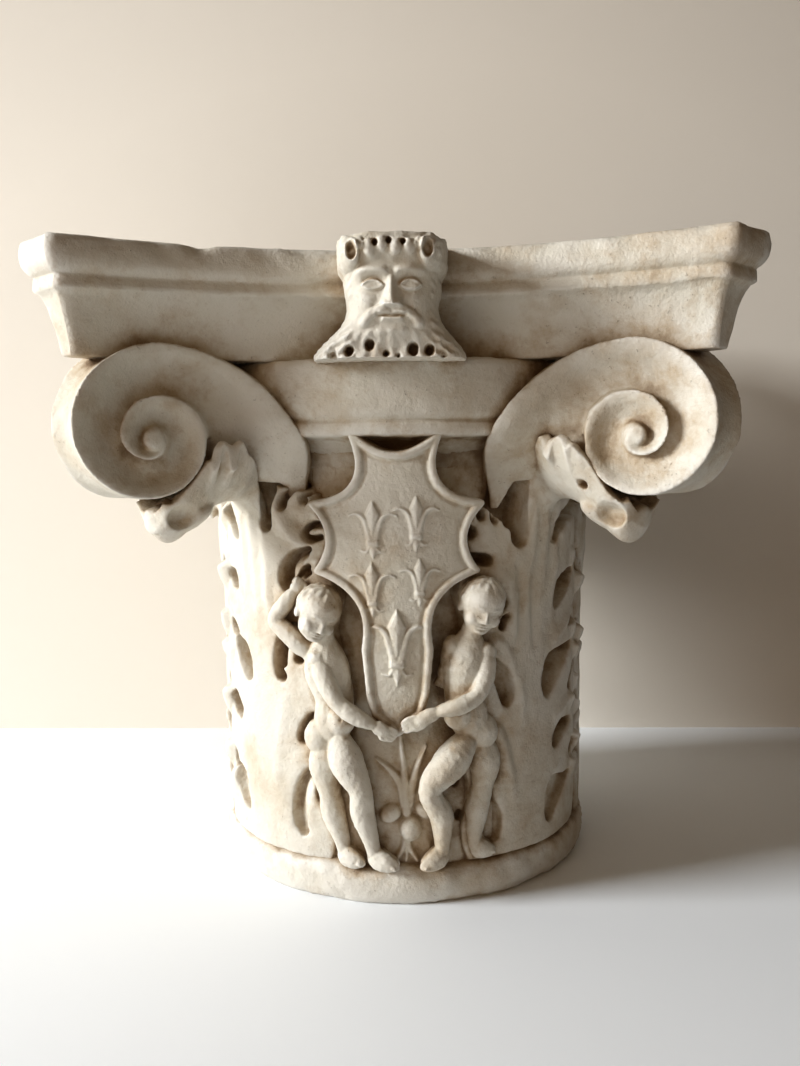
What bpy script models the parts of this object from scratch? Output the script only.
"""Composite capital carved from one block of white marble.

Metres, +Z up, origin at the centre of the underside. The front is -Y.
The carving is built up from overlapping closed forms, fused into one skin and thinned to a
faceted solid whose bed faces, below and above, are cut flat.
"""

import math

import bmesh
import bpy
import numpy as np
from mathutils import Matrix, Vector

# Driving dimensions.
WIDTH = 0.500
HEIGHT = 0.488
BED = 0.004

# Abacus: each side is a shallow curve between two blunt horns.
HALF = WIDTH / 2
HORN_X = 0.2174
SIDE_SAGITTA = 0.0745
SIDE_STEPS = 22
# Height, inset at the horn, inset at the middle of a side.
ABACUS_LEVELS = (
    (HEIGHT + BED, 0.0040, 0.0030),
    (HEIGHT - 0.0030, 0.0015, 0.0010),
    (HEIGHT - 0.0100, 0.0000, -0.0020),
    (HEIGHT - 0.0180, 0.0025, -0.0040),
    (HEIGHT - 0.0225, 0.0070, -0.0030),
    (HEIGHT - 0.0245, 0.0085, 0.0000),
    (HEIGHT - 0.0330, 0.0080, -0.0015),
    (HEIGHT - 0.0350, 0.0125, 0.0040),
    (HEIGHT - 0.0450, 0.0180, 0.0160),
    (HEIGHT - 0.0600, 0.0215, 0.0250),
    (HEIGHT - 0.0757, 0.0245, 0.0300),
)

# Turned work: lip, fillet, bell core and base ring, as radius and height from the top down.
LIP_TOP = 0.4130
LIP_FOOT = 0.3580
RING_TOP = 0.0305
RING_RADIUS = 0.1620
TURNED_PROFILE = (
    (0.0000, LIP_TOP), (0.1790, LIP_TOP), (0.1842, 0.4105), (0.1845, 0.4050), (0.1825, 0.3880),
    (0.1790, 0.3715), (0.1768, 0.3690), (0.1775, 0.3670), (0.1768, 0.3600), (0.1750, LIP_FOOT),
    (0.1560, 0.3560), (0.1400, 0.3400), (0.1370, 0.3000), (0.1370, 0.1500), (0.1440, 0.0600),
    (0.1500, 0.0340), (0.1530, RING_TOP), (0.1590, 0.0265), (RING_RADIUS, 0.0150),
    (0.1600, 0.0050), (0.1573, 0.0000), (0.1560, -BED), (0.0000, -BED),
)
TURNED_STEPS = 96

# Carved drum: leaves, shield and ground are one relief on it.
DRUM_RADIUS = 0.160
DRUM_LOW = 0.014
DRUM_HIGH = 0.366
DRUM_COLUMNS = 420
DRUM_ROWS = 132
GROUND_RADIUS = 0.1385
FOOT_SWELL = 0.0120
HEAD_SWELL = 0.0200

LEAF_FOOT = 0.020
LEAF_LIFT = 0.0215
LOBE_TOPS = (0.275, 0.211, 0.148, 0.104)
LOBE_DROP = 0.036
DRILL = 0.0031
# Where a slot starts, bends and ends, as shares of the leaf's half width.
SLOT_PLACES = (0.86, 0.66, 0.46)
CORNER_LEAF_WIDTH = 0.074
SIDE_LEAF_WIDTH = 0.043
CORNER_LEAF_TOP = 0.318
SIDE_LEAF_TOP = 0.300

# Shield on the front: half outline, in metres from the axis and height.
SHIELD_HORNS = ((0.0290, 0.3575), (0.0600, 0.3080), (0.0580, 0.2580), (0.0215, 0.1900))
SHIELD_DIPS = (0.0186, 0.0110, 0.0165)
SHIELD_TOP_DIP = 0.0150
SHIELD_HIP = (0.0230, 0.1590)
SHIELD_POINT = (0.0000, 0.1340)
SHIELD_RIM = 0.0030
# Each lily: centre, top height, overall height.
LILIES = (
    (-0.0160, 0.312, 0.046), (0.0140, 0.315, 0.044), (-0.0170, 0.267, 0.044),
    (0.0165, 0.269, 0.038), (0.0002, 0.231, 0.059),
)

# Flower below the figures' hands: blades as path, half width at the foot and at the head.
FLOWER_TOP = 0.131
FLOWER_BLADES = (
    (((0.001, 0.130), (0.004, 0.100), (0.006, 0.070)), 0.0024, 0.0040),
    (((0.006, 0.080), (-0.003, 0.096), (-0.017, 0.109)), 0.0050, 0.0012),
    (((0.006, 0.080), (0.012, 0.098), (0.022, 0.118)), 0.0050, 0.0012),
    (((0.006, 0.052), (0.003, 0.042), (-0.003, 0.034)), 0.0030, 0.0020),
    (((0.006, 0.052), (0.009, 0.042), (0.013, 0.034)), 0.0030, 0.0020),
)
FLOWER_BUDS = ((-0.0075, 0.0700), (0.0185, 0.0710), (0.0062, 0.0575))
BUD_RADIUS = 0.0078
BLADE_HEIGHT = 0.0040
BUD_HEIGHT = 0.0068

# Volutes: a spiral on each of the two faces of a corner.
EYE_X = 0.1650
EYE_Z = 0.3570
SPIRAL_RADIUS = 0.0655
SPIRAL_QUARTERS = 8.0
SPIRAL_POWER = 1.12
FACE_DEPTH = 0.2355
FACE_SAGITTA = 0.0800
FACE_SLANT = 0.873
CHANNEL_DEPTH = 0.0090
CHANNEL_BAND = 0.0350
FACE_TUCK = 0.0300
RIM_DISH = 0.0030
RIM_SHARE = 0.16

# Stalks that carry the volutes: a quarter of an ellipse on the same faces.
STALK_FOOT = 0.2900
STALK_REACH = (0.1130, EYE_Z + SPIRAL_RADIUS - STALK_FOOT)
STALK_WIDTHS = (0.0620, 0.0420)
STALK_SPAN = (math.radians(52), math.radians(97))
STALK_THICKNESS = 0.0260

# Mask: where it starts, and its features as height, place across, half width, level, half height.
MASK_HALF = 0.0350
MASK_FLARE = 0.0180
MASK_ROOT = 0.1500
MASK_BACK = 0.1880
MASK_FEATURES = (
    (-0.0060, 0.0140, 0.0070, 0.4560, 0.0050), (0.0035, 0.0140, 0.0048, 0.4550, 0.0026),
    (0.0030, 0.0130, 0.0090, 0.4630, 0.0026), (0.0030, 0.0090, 0.0090, 0.4385, 0.0026),
    (-0.0025, 0.0000, 0.0075, 0.4352, 0.0010), (0.0022, 0.0000, 0.0075, 0.4325, 0.0018),
    (0.0030, 0.0000, 0.0120, 0.4240, 0.0060), (0.0050, 0.0335, 0.0070, 0.4770, 0.0070),
)
MASK_HOLES = (0.0085, 0.0245)
LOCK_PITCH = 0.0120

# Hood of a corner leaf. In the corner's diagonal plane, distance and height: arm and drooping tip.
HOOD_ARM = (
    ((0.146, 0.240), (0.149, 0.280), (0.165, 0.309), (0.190, 0.318), (0.215, 0.312), (0.232, 0.300)),
    (0.0110, 0.0120, 0.0135, 0.0130, 0.0130, 0.0110), 3.4,
)
HOOD_TIP = (
    ((0.205, 0.312), (0.228, 0.304), (0.236, 0.294), (0.233, 0.287)),
    (0.0120, 0.0155, 0.0135, 0.0080), 1.6,
)
# One side of it: x, distance from the middle plane, height.
HOOD_FINGERS = (
    (((0.098, 0.126, 0.235), (0.102, 0.142, 0.280), (0.110, 0.165, 0.312), (0.128, 0.176, 0.320),
      (0.150, 0.181, 0.308)), (0.0120, 0.0140, 0.0150, 0.0130, 0.0110), 1.15),
    (((0.104, 0.160, 0.305), (0.106, 0.174, 0.330), (0.108, 0.181, 0.354)),
     (0.0100, 0.0080, 0.0036), 1.0),
    (((0.118, 0.168, 0.310), (0.122, 0.180, 0.332), (0.126, 0.187, 0.351)),
     (0.0100, 0.0080, 0.0036), 1.0),
)

# Figures' heads, as half axes of the skull and of the lower face.
SKULL = (0.0165, 0.0175, 0.0185)
CHEEKS = (0.0125, 0.0120, 0.0105)
LEFT_HEAD_TILT = math.radians(20)
RIGHT_HEAD_TILT = math.radians(12)

VOXEL = 0.0019
BLOCK_HEIGHT = 0.1
TRIANGLES = 9400
FINE_GROUP = "fine"
FINE_WEIGHT = 0.8
FINE_FACTOR = 0.15
MARBLE = (0.80, 0.76, 0.68, 1.0)


def smooth_step(low, high, value):
    """0 below low, 1 above high, with an even slope between."""
    share = np.clip((value - low) / (high - low), 0.0, 1.0)
    return share * share * (3.0 - 2.0 * share)


def hump(value, centre, width):
    """A bell curve of height 1."""
    return np.exp(-(((value - centre) / width) ** 2))


def curve_through(points, count):
    """count points on the Catmull-Rom curve through points, ends included."""
    points = np.asarray(points, float)
    padded = np.vstack([2 * points[0] - points[1], points, 2 * points[-1] - points[-2]])
    along = np.linspace(0, len(points) - 1, count)
    first = np.minimum(along.astype(int), len(points) - 2)
    t = (along - first)[:, None]
    a, b, c, d = (padded[first + i] for i in range(4))
    return 0.5 * (2 * b + (c - a) * t + (2 * a - 5 * b + 4 * c - d) * t**2
                  + (3 * b - 3 * c + d - a) * t**3)


def arc_between(start, end, dip, count=9):
    """Points on a shallow curve from start to end that dips to the left of its chord."""
    start, end = np.asarray(start, float), np.asarray(end, float)
    chord = end - start
    left = np.array([-chord[1], chord[0]]) / np.hypot(*chord)
    t = np.linspace(0, 1, count)[:, None]
    return start + chord * t + left * dip * 4 * t * (1 - t)


def distance_to_path(x, z, path):
    """Distance from each point to a polyline, and how far along the polyline it is, 0 to 1."""
    best = np.full(np.shape(x), 1e9)
    along = np.zeros(np.shape(x))
    pieces = len(path) - 1
    for i in range(pieces):
        (ax, az), (bx, bz) = path[i], path[i + 1]
        dx, dz = bx - ax, bz - az
        t = np.clip(((x - ax) * dx + (z - az) * dz) / (dx * dx + dz * dz + 1e-18), 0, 1)
        gap = np.hypot(x - ax - t * dx, z - az - t * dz)
        nearer = gap < best
        best = np.where(nearer, gap, best)
        along = np.where(nearer, (i + t) / pieces, along)
    return best, along


def inside_outline(x, z, outline):
    """True where a point is inside a closed polygon."""
    inside = np.zeros(np.shape(x), bool)
    for (ax, az), (bx, bz) in zip(outline, np.roll(outline, -1, axis=0)):
        if az == bz:
            continue
        crosses = ((az > z) != (bz > z)) & (x < (bx - ax) * (z - az) / (bz - az) + ax)
        inside ^= crosses
    return inside


def shield_outline():
    """The shield's edge, clockwise from its left top horn."""
    right = []
    for (start, end), dip in zip(zip(SHIELD_HORNS, SHIELD_HORNS[1:]), SHIELD_DIPS):
        right.append(arc_between(start, end, -dip)[:-1])
    right.append(np.array([SHIELD_HORNS[-1], SHIELD_HIP, SHIELD_POINT]))
    right = np.vstack(right)
    left = right[-2::-1] * (-1, 1)
    top = arc_between(left[-1], right[0], -SHIELD_TOP_DIP)[1:-1]
    return np.vstack([right, left, top])


def lily_height(x, z, centre, top, tall):
    """Relief of one heraldic lily, in metres above the shield."""
    u, v = np.abs(x - centre) / tall, (top - z) / tall
    blade = 0.085 * np.clip(np.minimum(v / 0.22, (0.68 - v) / 0.42), 0, 1) - u
    petal_gap, petal_run = distance_to_path(
        u, v, curve_through(((0.02, 0.64), (0.09, 0.42), (0.20, 0.27), (0.36, 0.24)), 7))
    petal = 0.055 - 0.030 * petal_run - petal_gap
    knot = 0.085 - np.maximum(u, np.abs(v - 0.69) * 2.2)
    tail_gap, tail_run = distance_to_path(u, v, ((0.02, 0.72), (0.10, 0.84), (0.17, 0.84)))
    tail = 0.035 - 0.015 * tail_run - tail_gap
    tip = 0.055 * np.clip(np.minimum((v - 0.70) / 0.12, (1.0 - v) / 0.16), 0, 1) - u
    shape = np.maximum.reduce([blade, petal, knot, tail, tip])
    return 0.0020 * smooth_step(-0.010, 0.022, shape)


def flower_height(x, z):
    """Relief of the flower that stands below the figures' hands."""
    height = np.zeros(np.shape(x))
    for points, foot, head in FLOWER_BLADES:
        gap, run = distance_to_path(x, z, curve_through(points, 7))
        inside = foot + (head - foot) * run - gap
        height = np.maximum(height, BLADE_HEIGHT * smooth_step(-0.001, 0.002, inside))
    for bx, bz in FLOWER_BUDS:
        dome = 1 - np.hypot(x - bx, z - bz) ** 2 / BUD_RADIUS**2
        height = np.maximum(height, BUD_HEIGHT * np.sqrt(np.clip(dome, 0, 1)))
    return height * (z < FLOWER_TOP)


def leaf_slots(half_width):
    """Drilled hooks that part the lobes of one half of a leaf: from its edge in and down."""
    slots = []
    for number, top in enumerate(LOBE_TOPS):
        drop = LOBE_DROP * (1.0 + 0.25 * (number == len(LOBE_TOPS) - 1))
        edge, bend, stem = half_width * np.array(SLOT_PLACES)
        slots.append(((edge, top), (bend, top - 0.10 * drop), (stem, top - 0.42 * drop),
                      (stem - 0.003, top - drop)))
    return slots


def leaf_height(across, z, half_width, top, comb):
    """Relief of an acanthus leaf above the ground, before it is drilled."""
    b = np.abs(across)
    pitch = (LOBE_TOPS[1] - z) / (LOBE_TOPS[0] - LOBE_TOPS[1])
    scallop = half_width * (1.0 + 0.05 * np.cos(2 * math.pi * (pitch + 0.35)))
    crest = top - comb * smooth_step(0.013, 0.016, b) * (1 - smooth_step(0.026, 0.029, b))
    crest = crest - 0.35 * np.clip(b - 0.7 * half_width, 0, None)
    body = smooth_step(0.0, 0.0045, scallop - b) * smooth_step(0.0, 0.006, crest - z)
    body = body * smooth_step(LEAF_FOOT - 0.004, LEAF_FOOT + 0.004, z)
    swell = 0.0025 * np.cos(2 * math.pi * (pitch + 0.35)) * smooth_step(0.3, 0.9, b / half_width)
    flare = 0.006 * smooth_step(0.20, 0.31, z)
    return (LEAF_LIFT - 0.0035 * (b / half_width) ** 2 + swell + flare) * body


def drum_radius(angle, z):
    """Radius of the carved drum at an angle from the front, right-handed from above, and a height."""
    arc = DRUM_RADIUS * angle
    quarter = DRUM_RADIUS * math.pi / 2
    to_corner = (arc % quarter) - quarter / 2
    to_side = (arc + quarter / 2) % quarter - quarter / 2
    front = np.abs(arc) < quarter / 2
    ground = GROUND_RADIUS + FOOT_SWELL * smooth_step(0.17, 0.06, z)
    ground = ground + HEAD_SWELL * smooth_step(0.340, 0.360, z)
    corner = leaf_height(to_corner, z, CORNER_LEAF_WIDTH, CORNER_LEAF_TOP, 0.034)
    side = np.where(front, 0, leaf_height(to_side, z, SIDE_LEAF_WIDTH, SIDE_LEAF_TOP, 0.0))
    lift = np.maximum(corner, side)
    for across, width in ((to_corner, CORNER_LEAF_WIDTH), (to_side, SIDE_LEAF_WIDTH)):
        for slot in leaf_slots(width):
            gap, _ = distance_to_path(np.abs(across), z, curve_through(slot, 7))
            cut = smooth_step(DRILL + 0.0012, DRILL - 0.0004, gap)
            near = front if width == SIDE_LEAF_WIDTH else np.zeros(np.shape(z), bool)
            lift = np.where(near, lift, lift * (1 - 0.85 * cut))
    radius = np.maximum(ground, GROUND_RADIUS + lift)
    outline = shield_outline()
    rim, _ = distance_to_path(arc, z, np.vstack([outline, outline[:1]]))
    plate = inside_outline(arc, z, outline) | (rim < SHIELD_RIM)
    face = 0.1600 + 0.0120 * (z - 0.136) / 0.222
    bead = 0.0028 * np.sqrt(np.clip(1 - (rim / (SHIELD_RIM + 0.0004)) ** 2, 0, 1))
    charges = sum(lily_height(arc, z, *lily) for lily in LILIES)
    radius = np.where(front & plate, face + bead + charges, radius)
    return np.where(front, radius + flower_height(arc, z), radius)


def new_object(name, bm, collection):
    """Turn a bmesh into an object in a collection, with its faces pointing out."""
    bmesh.ops.recalc_face_normals(bm, faces=bm.faces[:])
    mesh = bpy.data.meshes.new(name)
    bm.to_mesh(mesh)
    bm.free()
    made = bpy.data.objects.new(name, mesh)
    collection.objects.link(made)
    return made


def add_limb(bm, centres, radii, broad=1.0, outward=(0.0, -1.0, 0.0), around=14, along=20):
    """Add a rounded limb: a ball stretched along a smooth path, with its own radius at each point.

    broad widens the limb across the path; outward is the direction that it stays thin in.
    """
    made = bmesh.ops.create_uvsphere(bm, u_segments=around, v_segments=along, radius=1.0)["verts"]
    samples = 96
    path = curve_through(centres, samples)
    sizes = curve_through(np.asarray(radii, float)[:, None], samples)[:, 0]
    heading = np.gradient(path, axis=0)
    heading /= np.linalg.norm(heading, axis=1)[:, None]
    across = np.cross(heading, np.asarray(outward, float))
    across /= np.linalg.norm(across, axis=1)[:, None]
    up = np.cross(across, heading)
    for vert in made:
        share = 2.0 * math.asin(min(1.0, max(-1.0, vert.co.z))) / math.pi
        spot = int(round((share + 1.0) / 2.0 * (samples - 1)))
        ring = math.hypot(vert.co.x, vert.co.y)
        full = math.sqrt(1.0 - abs(share) ** 8)
        size = sizes[spot] * full / max(ring, 1e-9)
        swell = heading[spot] * sizes[spot] * share ** 9
        spread = across[spot] * vert.co.x * size * broad + up[spot] * vert.co.y * size
        vert.co = Vector(path[spot] + swell + spread)


def add_ball(bm, centre, radii, tilt=0.0, around=16, along=12):
    """Add an ellipsoid, leaned sideways by tilt."""
    leaned = Matrix.Translation(centre) @ Matrix.Rotation(tilt, 4, "Y")
    bmesh.ops.create_uvsphere(bm, u_segments=around, v_segments=along, radius=1.0,
                              matrix=leaned @ Matrix.Diagonal((*radii, 1.0)))


def turned_work(collection):
    """Base ring, bell core, fillet and lip, as one turned profile."""
    bm = bmesh.new()
    points = [bm.verts.new((radius, 0.0, z)) for radius, z in TURNED_PROFILE]
    for start, end in zip(points, points[1:]):
        bm.edges.new((start, end))
    mesh = bpy.data.meshes.new("turned_work")
    bm.to_mesh(mesh)
    bm.free()
    made = bpy.data.objects.new("turned_work", mesh)
    collection.objects.link(made)
    screw = made.modifiers.new("Screw", "SCREW")
    screw.axis = "Z"
    screw.steps = screw.render_steps = TURNED_STEPS
    screw.use_merge_vertices = True
    screw.merge_threshold = 0.0001
    return made


def abacus_ring(level):
    """The abacus outline at one level, counter-clockwise from the front left horn."""
    z, at_horn, at_middle = level
    corner = HORN_X - 0.15 * at_horn
    x = np.linspace(-corner, corner, SIDE_STEPS + 1)
    share = (x / corner) ** 2
    inset = at_middle + (at_horn - at_middle) * share
    side = np.stack([x, -(HALF - inset - SIDE_SAGITTA * (1 - share))], axis=1)
    ring = []
    for quarter in range(4):
        turn = np.array([[0, -1], [1, 0]], float)
        ring.append(side @ np.linalg.matrix_power(turn, quarter).T)
    return [(px, py, z) for px, py in np.vstack(ring)]


def abacus(collection):
    """Concave-sided slab: roll, fillet and hollow, lofted through its levels."""
    bm = bmesh.new()
    loops = []
    for level in ABACUS_LEVELS:
        verts = [bm.verts.new(point) for point in abacus_ring(level)]
        loops.append([bm.edges.new((a, b)) for a, b in zip(verts, verts[1:] + verts[:1])])
    for upper, lower in zip(loops, loops[1:]):
        bmesh.ops.bridge_loops(bm, edges=upper + lower)
    for loop in (loops[0], loops[-1]):
        bmesh.ops.contextual_create(bm, geom=loop)
    return new_object("abacus", bm, collection)


def carved_drum(collection):
    """The bell's carving: a grid wrapped round the drum, set out to its relief, and capped."""
    bm = bmesh.new()
    bmesh.ops.create_grid(bm, x_segments=DRUM_COLUMNS, y_segments=DRUM_ROWS, size=1.0)
    flat = np.array([vert.co[:2] for vert in bm.verts])
    angle = flat[:, 0] * math.pi
    z = DRUM_LOW + (DRUM_HIGH - DRUM_LOW) * (flat[:, 1] + 1) / 2
    radius = drum_radius(angle, z)
    places = np.stack([radius * np.sin(angle), -radius * np.cos(angle), z], axis=1)
    for vert, place in zip(bm.verts, places):
        vert.co = Vector(place)
    bmesh.ops.remove_doubles(bm, verts=bm.verts[:], dist=1e-5)
    rims = [edge for edge in bm.edges if edge.is_boundary]
    for middle in (DRUM_LOW, DRUM_HIGH):
        loop = [edge for edge in rims if abs(edge.verts[0].co.z - middle) < 1e-4]
        bmesh.ops.contextual_create(bm, geom=loop)
    return new_object("carved_drum", bm, collection)


def spiral_radius(quarter):
    """Radius of the volute's edge after so many quarter turns from its top."""
    share = np.clip(1 - quarter / SPIRAL_QUARTERS, 0, None)
    return SPIRAL_RADIUS * share ** SPIRAL_POWER


def volute_edge(quarter):
    """Edge of the scroll, 0 to 4 quarter turns from its top: a spiral, then the stalk's outer edge."""
    turn = quarter * math.pi / 2
    across, up = FACE_SLANT * np.sin(turn) / STALK_REACH[0], np.cos(turn) / STALK_REACH[1]
    lift = (EYE_Z - STALK_FOOT) / STALK_REACH[1]
    square = across**2 + up**2
    under = np.clip((up * lift) ** 2 + square * (1 - lift**2), 0, None)
    joined = (np.sqrt(under) - up * lift) / square
    return np.where(quarter < 3, spiral_radius(quarter), joined)


def hollow(band, share):
    """Depth of the channel a share of the way in from its outer edge."""
    slope = np.sin(0.5 * math.pi * smooth_step(0.04, 0.85, share))
    return CHANNEL_DEPTH * np.clip(band / CHANNEL_BAND, 0, 1.2) * slope


def channel_depth(quarter, reach):
    """How far the scroll's surface lies behind its face."""
    late = quarter >= 3
    edges = [volute_edge(quarter), spiral_radius(np.where(late, quarter, quarter + 4)),
             spiral_radius(np.where(late, quarter + 4, SPIRAL_QUARTERS)), np.zeros(np.shape(quarter))]
    depth = np.zeros(np.shape(reach))
    for outer, inner in zip(edges, edges[1:]):
        band = np.maximum(outer - inner, 1e-6)
        share = (outer - reach) / band
        depth = np.where((share >= 0) & (share <= 1), hollow(band, share), depth)
    eye = smooth_step(0.0125, 0.0070, reach)
    return depth * (1 - eye) - 0.0015 * eye


def face_depth(x, z):
    """Distance of a volute's face from the middle plane of its side."""
    tuck = FACE_TUCK * smooth_step(0.372, 0.285, z) * smooth_step(0.125, 0.075, x)
    return FACE_DEPTH - FACE_SAGITTA * (1 - (x / HORN_X) ** 2) - tuck


def volute(corner, collection):
    """A corner scroll: one ball pressed into two spiral faces with a dished rim between them."""
    bm = bmesh.new()
    bmesh.ops.create_uvsphere(bm, u_segments=96, v_segments=72, radius=1.0)
    sphere = np.array([vert.co[:] for vert in bm.verts])
    quarter = (np.arctan2(sphere[:, 0], sphere[:, 1]) / (math.pi / 2)) % 4
    lean = np.arcsin(np.clip(sphere[:, 2], -1, 1)) / (math.pi / 2)
    share = np.clip((1 - np.abs(lean)) / (1 - RIM_SHARE), 0, 1)
    across = np.clip(np.abs(lean) / RIM_SHARE, 0, 1) * np.sign(lean)
    edge = volute_edge(quarter)
    x = EYE_X + edge * share * np.sin(quarter * math.pi / 2) * FACE_SLANT
    z = EYE_Z + edge * share * np.cos(quarter * math.pi / 2)
    depth = face_depth(x, z) - channel_depth(quarter, edge * share)
    front, side = np.stack([x, depth], axis=1), np.stack([depth, x], axis=1)
    mix = (0.5 + 0.5 * across)[:, None]
    plan = front * mix + side * (1 - mix)
    dish = RIM_DISH * (1 - across**2)
    plan -= (dish / math.sqrt(2))[:, None]
    sign_x, sign_y = corner
    for vert, (px, py), height in zip(bm.verts, plan, z):
        vert.co = Vector((px * sign_x, py * sign_y, height))
    return new_object("volute", bm, collection)


def stalk(corner, swap, collection):
    """The channelled stalk that rises from behind the leaves into a volute."""
    bm = bmesh.new()
    bmesh.ops.create_grid(bm, x_segments=22, y_segments=16, size=1.0)
    front = bm.verts[:]
    turned = bmesh.ops.extrude_face_region(bm, geom=bm.faces[:])["geom"]
    back = {item for item in turned if isinstance(item, bmesh.types.BMVert)}
    sign_x, sign_y = corner
    for vert in front + list(back):
        share, width = (vert.co.x + 1) / 2, (vert.co.y + 1) / 2
        angle = STALK_SPAN[0] + (STALK_SPAN[1] - STALK_SPAN[0]) * share
        band = STALK_WIDTHS[0] + (STALK_WIDTHS[1] - STALK_WIDTHS[0]) * share
        ex, ez = STALK_REACH[0] * math.sin(angle), STALK_REACH[1] * math.cos(angle)
        shrink = 1 - width * band / math.hypot(ex, ez)
        x, z = EYE_X - ex * shrink, STALK_FOOT + ez * shrink
        depth = float(face_depth(x, z) - hollow(band, width))
        depth -= STALK_THICKNESS if vert in back else 0.0
        px, py = (depth, x) if swap else (x, depth)
        vert.co = Vector((px * sign_x, py * sign_y, z))
    return new_object("stalk", bm, collection)


def leaf_hood(corner, collection):
    """Top of a corner leaf: it bends out under the volute and ends in a drooping tip."""
    bm = bmesh.new()
    sign_x, sign_y = corner
    out = np.array([sign_x, sign_y, 0.0]) / math.sqrt(2)
    for points, radii, broad in (HOOD_ARM, HOOD_TIP):
        centres = [out * distance + (0.0, 0.0, z) for distance, z in points]
        add_limb(bm, centres, radii, broad=broad, outward=out + (0.0, 0.0, 0.4), around=20, along=22)
    for swap in (False, True):
        for points, radii, broad in HOOD_FINGERS:
            centres = [((y, x, z) if swap else (x, y, z)) for x, y, z in points]
            centres = [(x * sign_x, y * sign_y, z) for x, y, z in centres]
            add_limb(bm, centres, radii, broad=broad, outward=out)
    return new_object("leaf_hood", bm, collection)


def mask_half(z):
    """Half width of the mask at a height: the beard flares at its foot."""
    return MASK_HALF + MASK_FLARE * smooth_step(0.440, 0.411, z) ** 1.4


def mask_depth(x, z):
    """How far the bearded mask stands out from the middle plane."""
    a = np.abs(x)
    share = np.clip(a / mask_half(z), 0, 1)
    depth = MASK_BACK + (0.040 - 0.012 * smooth_step(0.440, 0.411, z)) * np.sqrt(1 - share**2.6)
    for height, across, half, level, tall in MASK_FEATURES:
        depth += height * hump(a, across, half) * hump(z, level, tall)
    nose = smooth_step(0.464, 0.446, z) * smooth_step(0.4410, 0.4425, z)
    depth += 0.0105 * nose * hump(a, 0, 0.0036 + 0.0030 * smooth_step(0.452, 0.443, z))
    locks = 0.6 + 0.4 * np.cos(a * 2 * math.pi / LOCK_PITCH)
    depth += 0.0030 * smooth_step(0.474, 0.480, z) * locks
    for hole in MASK_HOLES:
        depth -= 0.0100 * smooth_step(0.0036, 0.0020, np.hypot(a - hole, z - 0.4200))
    return depth


def mask(collection):
    """Bearded mask on the middle of the front of the abacus, down to the lip."""
    bm = bmesh.new()
    bmesh.ops.create_grid(bm, x_segments=60, y_segments=46, size=1.0)
    front = bm.verts[:]
    turned = bmesh.ops.extrude_face_region(bm, geom=bm.faces[:])["geom"]
    back = {item for item in turned if isinstance(item, bmesh.types.BMVert)}
    low, high = LIP_TOP - 0.003, HEIGHT + BED
    for vert in front + list(back):
        z = low + (high - low) * (vert.co.y + 1) / 2
        x = vert.co.x * float(mask_half(z))
        depth = MASK_ROOT if vert in back else float(mask_depth(x, z))
        vert.co = Vector((x, -depth, z))
    return new_object("mask", bm, collection)


def on_drum(x, z, radius):
    """A point at radius from the axis, x to the right of the front and z up."""
    return (x, -math.sqrt(radius * radius - x * x), z)


def figure(name, joints, head_tilt, collection):
    """A nude child figure in high relief, built of rounded limbs."""
    bm = bmesh.new()

    def limb(names, radii, broad=1.0):
        add_limb(bm, [on_drum(*joints[key]) for key in names], radii, broad=broad)

    limb(("neck", "chest", "waist", "hips"), (0.0075, 0.0125, 0.0112, 0.0125), broad=1.25)
    add_ball(bm, on_drum(*joints["belly"]), (0.0120, 0.0110, 0.0140))
    add_ball(bm, on_drum(*joints["seat"]), (0.0140, 0.0120, 0.0155))
    limb(("chest", "neck", "head"), (0.0080, 0.0070, 0.0075))
    for side in ("near", "far"):
        limb([side + "_" + key for key in ("hip", "thigh", "knee", "calf", "ankle", "heel")],
             (0.0110, 0.0118, 0.0078, 0.0080, 0.0050, 0.0055))
        limb([side + "_" + key for key in ("heel", "foot", "toe")], (0.0058, 0.0052, 0.0036), broad=1.2)
        limb([side + "_" + key for key in ("shoulder", "arm", "elbow", "forearm", "wrist")],
             (0.0078, 0.0070, 0.0056, 0.0056, 0.0040))
        limb([side + "_" + key for key in ("wrist", "hand")], (0.0042, 0.0036), broad=1.35)
    head = Vector(on_drum(*joints["skull"]))
    add_ball(bm, head, SKULL, tilt=head_tilt, around=24, along=18)
    chin = Vector((math.sin(head_tilt), 0.0, -math.cos(head_tilt))) * 0.0110
    add_ball(bm, head + chin + Vector((0.0, -0.0050, 0.0)), CHEEKS, tilt=head_tilt)
    return new_object(name, bm, collection)


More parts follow.
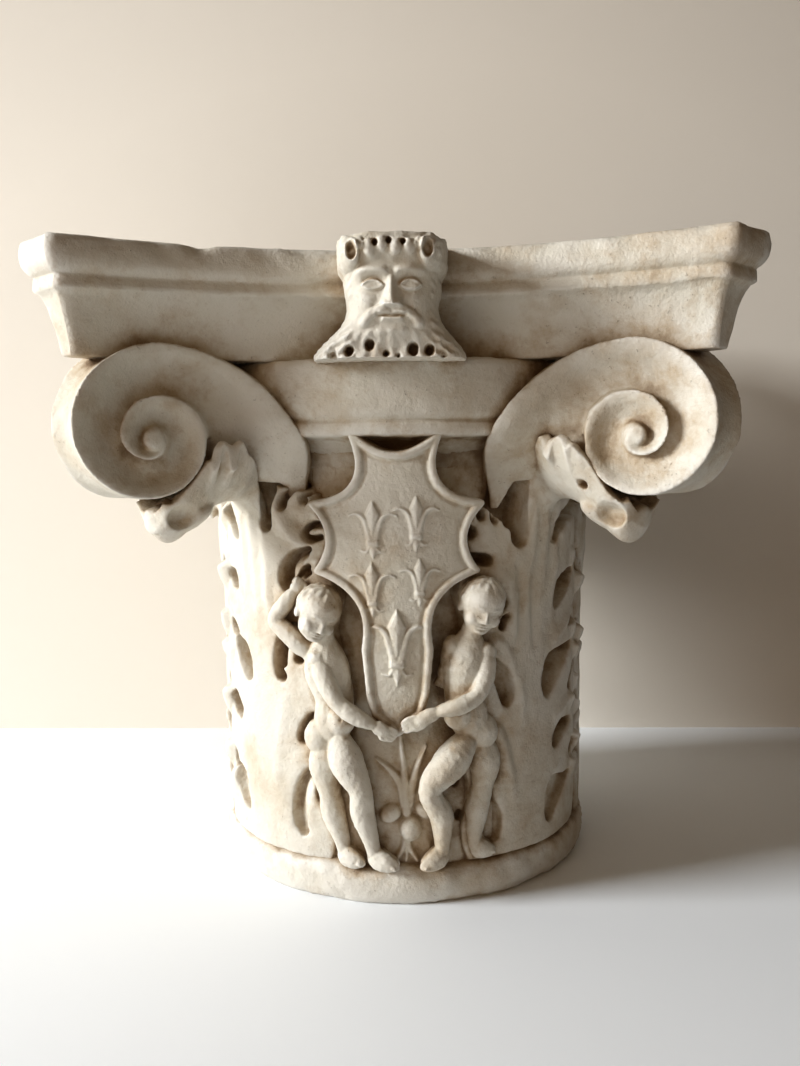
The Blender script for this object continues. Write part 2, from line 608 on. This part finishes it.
# Joints of the figures: x, z and radius from the axis.
LEFT_FIGURE = {
    "skull": (-0.0590, 0.2270, 0.166), "head": (-0.0580, 0.2150, 0.162),
    "neck": (-0.0560, 0.2050, 0.160), "chest": (-0.0545, 0.1830, 0.158),
    "waist": (-0.0490, 0.1580, 0.157), "hips": (-0.0495, 0.1350, 0.158),
    "belly": (-0.0455, 0.1460, 0.161), "seat": (-0.0570, 0.1280, 0.159),
    "far_shoulder": (-0.0650, 0.1930, 0.160), "far_arm": (-0.0800, 0.2060, 0.166),
    "far_elbow": (-0.0935, 0.2180, 0.168), "far_forearm": (-0.0860, 0.2310, 0.167),
    "far_wrist": (-0.0780, 0.2420, 0.164), "far_hand": (-0.0720, 0.2490, 0.162),
    "near_shoulder": (-0.0600, 0.1910, 0.166), "near_arm": (-0.0530, 0.1740, 0.170),
    "near_elbow": (-0.0440, 0.1600, 0.173), "near_forearm": (-0.0310, 0.1510, 0.173),
    "near_wrist": (-0.0170, 0.1440, 0.171), "near_hand": (-0.0030, 0.1360, 0.169),
    "far_hip": (-0.0560, 0.1240, 0.156), "far_thigh": (-0.0565, 0.1060, 0.156),
    "far_knee": (-0.0535, 0.0860, 0.157), "far_calf": (-0.0505, 0.0680, 0.156),
    "far_ankle": (-0.0435, 0.0460, 0.157), "far_heel": (-0.0425, 0.0380, 0.158),
    "far_foot": (-0.0360, 0.0360, 0.161), "far_toe": (-0.0290, 0.0345, 0.163),
    "near_hip": (-0.0440, 0.1270, 0.161), "near_thigh": (-0.0385, 0.1110, 0.164),
    "near_knee": (-0.0290, 0.0930, 0.166), "near_calf": (-0.0275, 0.0740, 0.163),
    "near_ankle": (-0.0205, 0.0480, 0.161), "near_heel": (-0.0190, 0.0390, 0.161),
    "near_foot": (-0.0110, 0.0360, 0.164), "near_toe": (-0.0030, 0.0335, 0.166),
}
RIGHT_FIGURE = {
    "skull": (0.0635, 0.2320, 0.166), "head": (0.0600, 0.2200, 0.162),
    "neck": (0.0550, 0.2110, 0.160), "chest": (0.0515, 0.1870, 0.158),
    "waist": (0.0495, 0.1610, 0.157), "hips": (0.0550, 0.1370, 0.158),
    "belly": (0.0455, 0.1500, 0.161), "seat": (0.0600, 0.1320, 0.158),
    "far_shoulder": (0.0420, 0.2000, 0.156), "far_arm": (0.0400, 0.1920, 0.153),
    "far_elbow": (0.0380, 0.1850, 0.151), "far_forearm": (0.0360, 0.1780, 0.150),
    "far_wrist": (0.0340, 0.1730, 0.149), "far_hand": (0.0320, 0.1680, 0.149),
    "near_shoulder": (0.0660, 0.1950, 0.164), "near_arm": (0.0650, 0.1790, 0.169),
    "near_elbow": (0.0590, 0.1650, 0.173), "near_forearm": (0.0450, 0.1580, 0.174),
    "near_wrist": (0.0290, 0.1540, 0.172), "near_hand": (0.0050, 0.1430, 0.169),
    "far_hip": (0.0620, 0.1240, 0.156), "far_thigh": (0.0650, 0.1080, 0.156),
    "far_knee": (0.0635, 0.0900, 0.157), "far_calf": (0.0590, 0.0690, 0.155),
    "far_ankle": (0.0570, 0.0470, 0.156), "far_heel": (0.0590, 0.0410, 0.157),
    "far_foot": (0.0650, 0.0390, 0.159), "far_toe": (0.0710, 0.0380, 0.160),
    "near_hip": (0.0500, 0.1260, 0.161), "near_thigh": (0.0385, 0.1120, 0.165),
    "near_knee": (0.0235, 0.0940, 0.168), "near_calf": (0.0320, 0.0720, 0.164),
    "near_ankle": (0.0325, 0.0480, 0.161), "near_heel": (0.0325, 0.0400, 0.161),
    "near_foot": (0.0260, 0.0365, 0.164), "near_toe": (0.0190, 0.0335, 0.166),
}


def marble():
    """Creamy white marble."""
    material = bpy.data.materials.new("marble")
    material.use_nodes = True
    shader = material.node_tree.nodes["Principled BSDF"]
    shader.inputs["Base Color"].default_value = MARBLE
    shader.inputs["Roughness"].default_value = 0.55
    return material


def trimming_block(name, z, collection):
    """A block that cuts the carving flat at a bed face."""
    bm = bmesh.new()
    size = Matrix.Diagonal((2 * WIDTH, 2 * WIDTH, BLOCK_HEIGHT, 1.0))
    bmesh.ops.create_cube(bm, size=1.0, matrix=Matrix.Translation((0.0, 0.0, z)) @ size)
    block = new_object(name, bm, collection)
    block.hide_render = True
    block.display_type = "WIRE"
    return block


def fused(forms):
    """One mesh that holds all the forms, still overlapping."""
    graph = bpy.context.evaluated_depsgraph_get()
    bm = bmesh.new()
    for form in forms:
        copy = bpy.data.meshes.new_from_object(form.evaluated_get(graph))
        bm.from_mesh(copy)
        bpy.data.meshes.remove(copy)
    mesh = bpy.data.meshes.new("capital")
    bm.to_mesh(mesh)
    bm.free()
    return mesh


def outer_skin(mesh, collection):
    """One skin round the forms: a voxel remesh, without the shells of any gap left inside it."""
    blank = bpy.data.objects.new("blank", mesh)
    collection.objects.link(blank)
    skin = blank.modifiers.new("Skin", "REMESH")
    skin.mode = "VOXEL"
    skin.voxel_size = VOXEL
    bpy.context.view_layer.update()
    graph = bpy.context.evaluated_depsgraph_get()
    bm = bmesh.new()
    bm.from_mesh(blank.evaluated_get(graph).to_mesh())
    bpy.data.objects.remove(blank)
    unseen = set(bm.verts)
    shells = []
    while unseen:
        shell, edge = set(), [unseen.pop()]
        while edge:
            vert = edge.pop()
            shell.add(vert)
            for link in vert.link_edges:
                other = link.other_vert(vert)
                if other in unseen:
                    unseen.remove(other)
                    edge.append(other)
        shells.append(shell)
    shells.sort(key=len)
    for shell in shells[:-1]:
        bmesh.ops.delete(bm, geom=list(shell), context="VERTS")
    outer = bpy.data.meshes.new("capital")
    bm.to_mesh(outer)
    bm.free()
    return outer


def keep_fine(capital):
    """Mark the shield, the figures and the mask, so that thinning spares them."""
    group = capital.vertex_groups.new(name=FINE_GROUP)
    places = np.empty(len(capital.data.vertices) * 3, np.float32)
    capital.data.vertices.foreach_get("co", places)
    x, y, z = places.reshape(-1, 3).T
    figures = (np.abs(x) < 0.085) & (y < -0.130) & (z > 0.030) & (z < 0.362)
    face = (np.abs(x) < 0.050) & (y < -0.188) & (z > 0.405)
    group.add(np.flatnonzero(figures | face).tolist(), FINE_WEIGHT, "REPLACE")


def main():
    for old in list(bpy.data.objects):
        bpy.data.objects.remove(old)
    scene = bpy.context.scene.collection
    parts = bpy.data.collections.new("marble_capital")
    helpers = bpy.data.collections.new("cutters")
    scene.children.link(parts)
    scene.children.link(helpers)

    forms = [turned_work(helpers), abacus(helpers), carved_drum(helpers), mask(helpers)]
    for corner in ((-1, -1), (1, -1), (1, 1), (-1, 1)):
        forms.append(volute(corner, helpers))
        forms.append(leaf_hood(corner, helpers))
        for swap in (False, True):
            forms.append(stalk(corner, swap, helpers))
    forms.append(figure("left_figure", LEFT_FIGURE, LEFT_HEAD_TILT, helpers))
    forms.append(figure("right_figure", RIGHT_FIGURE, RIGHT_HEAD_TILT, helpers))
    bpy.context.view_layer.update()

    blocks = [trimming_block("below_bed", -BLOCK_HEIGHT / 2, helpers),
              trimming_block("above_bed", HEIGHT + BLOCK_HEIGHT / 2, helpers)]
    capital = bpy.data.objects.new("capital", outer_skin(fused(forms), helpers))
    for form in forms:
        bpy.data.objects.remove(form)
    parts.objects.link(capital)
    capital.data.materials.append(marble())
    keep_fine(capital)
    thin = capital.modifiers.new("Thin", "DECIMATE")
    thin.ratio = TRIANGLES / (2 * len(capital.data.polygons))
    thin.vertex_group = FINE_GROUP
    thin.vertex_group_factor = FINE_FACTOR
    thin.invert_vertex_group = True
    for block in blocks:
        trim = capital.modifiers.new(block.name, "BOOLEAN")
        trim.operation = "DIFFERENCE"
        trim.object = block


main()
